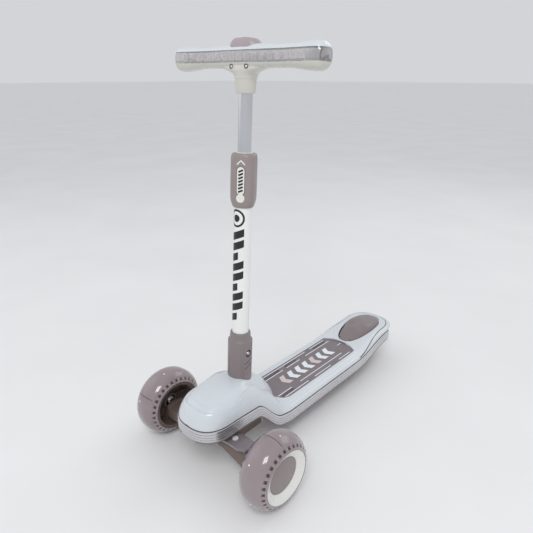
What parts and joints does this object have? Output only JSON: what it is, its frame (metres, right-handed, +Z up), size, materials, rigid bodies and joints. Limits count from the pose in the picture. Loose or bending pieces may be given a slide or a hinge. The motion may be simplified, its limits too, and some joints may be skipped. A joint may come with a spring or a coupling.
{
  "type": "kick scooter",
  "caption": "Child's lean-to-steer kick scooter: wide front wheels on a tilting truck, lit low deck, foot brake over a small rear wheel, height-adjustable T handlebar.",
  "frame": {"origin": "on the ground, under the middle of the scooter's box", "axes": "+Z up, -Y forward, +X to the rider's left"},
  "size_m": [0.309, 0.576, 0.6561],
  "materials": {
    "shell": "glossy pale grey-white moulded plastic",
    "taupe": "satin taupe moulded plastic",
    "clamp": "satin light taupe moulded plastic",
    "dark_taupe": "dark brown-taupe structural plastic",
    "tread": "glossy translucent mauve-grey polyurethane",
    "rim": "warm white moulded plastic",
    "grip": "matt taupe grip sheet",
    "print": "white printed lines and raised marks",
    "decal": "black printed film",
    "lens": "clear ribbed plastic light guide",
    "tube_paint": "white painted steel tube",
    "tube_silver": "satin anodised aluminium tube",
    "steel": "zinc plated steel",
    "board": "green circuit board",
    "black_rubber": "black rubber"
  },
  "bodies": {
    "deck": {"deck_cover": "shell", "grip_insert": "grip", "deck_lines": "print", "deck_marks": "print", "light_strip": "lens", "deck_tray": "taupe", "tray_screws": "steel", "battery_box": "dark_taupe", "battery_cells": "steel", "battery_door": "taupe", "control_board": "board", "stem_collar": "taupe", "stem_socket": "steel", "stem_tube": "tube_paint", "tube_decals": "decal", "clamp_housing": "clamp", "clamp_badge": "rim", "guide_bush": "rim", "lever_pin": "steel", "steer_mount": "dark_taupe", "kingpin": "steel", "rear_bracket": "dark_taupe", "rear_axle": "steel", "brake_pin": "steel"},
    "truck": {"truck_beam": "dark_taupe", "left_beam_cap": "taupe", "right_beam_cap": "taupe", "beam_rivets": "steel", "steer_bushings": "black_rubber", "left_axle": "steel", "right_axle": "steel"},
    "left_wheel": {"left_tyre": "tread", "left_core": "dark_taupe", "left_rim_ring": "rim", "left_hub_cap": "taupe", "left_bearings": "steel"},
    "right_wheel": {"right_tyre": "tread", "right_core": "dark_taupe", "right_rim_ring": "rim", "right_hub_cap": "taupe", "right_bearings": "steel"},
    "rear_wheel": {"rear_tyre": "tread", "rear_core": "dark_taupe", "rear_bearings": "steel"},
    "brake": {"brake_pedal": "taupe", "brake_shoe": "black_rubber"},
    "handlebar": {"inner_tube": "tube_silver", "bar_upper": "shell", "bar_lower": "shell", "bar_lens": "lens", "bar_leds": "board", "bar_screws": "steel", "bar_cap": "taupe"},
    "light_button": {"light_button": "rim"},
    "lock_lever": {"lock_lever": "dark_taupe"},
    "snap_button": {"snap_button": "steel"}
  },
  "joints": [
    {"name": "lean_steer", "type": "hinge", "parent": "deck", "child": "truck", "pos_m": [0, -0.228, 0.058], "axis": [0, -0.5736, 0.8192], "range_deg": [-12, 12], "stiffness_Nm_per_rad": 10},
    {"name": "left_wheel_spin", "type": "hinge", "parent": "truck", "child": "left_wheel", "pos_m": [0.1275, -0.228, 0.06], "axis": [1, 0, 0], "continuous": true},
    {"name": "right_wheel_spin", "type": "hinge", "parent": "truck", "child": "right_wheel", "pos_m": [-0.1275, -0.228, 0.06], "axis": [1, 0, 0], "continuous": true},
    {"name": "rear_wheel_spin", "type": "hinge", "parent": "deck", "child": "rear_wheel", "pos_m": [0, 0.234, 0.038], "axis": [1, 0, 0], "continuous": true},
    {"name": "brake_press", "type": "hinge", "parent": "deck", "child": "brake", "pos_m": [0, 0.156, 0.063], "axis": [-1, 0, 0], "range_deg": [0, 2.8], "stiffness_Nm_per_rad": 12, "springref_deg": -2.86},
    {"name": "bar_height", "type": "slide", "parent": "deck", "child": "handlebar", "axis": [0, 0.0558, 0.9984], "range_m": [-0.076, 0.08]},
    {"name": "light_switch", "type": "slide", "parent": "handlebar", "child": "light_button", "axis": [0, -0.0558, -0.9984], "range_m": [0, 0.0015], "stiffness_N_per_m": 900, "springref_m": -0.0015},
    {"name": "lock_lever_open", "type": "hinge", "parent": "deck", "child": "lock_lever", "pos_m": [-0.012, -0.13096, 0.48324], "axis": [0.866, 0.4992, -0.0279], "range_deg": [0, 110]},
    {"name": "snap_press", "type": "slide", "parent": "deck", "child": "snap_button", "axis": [-1, 0, 0], "range_m": [0, 0.007], "stiffness_N_per_m": 600, "springref_m": -0.003}
  ]
}
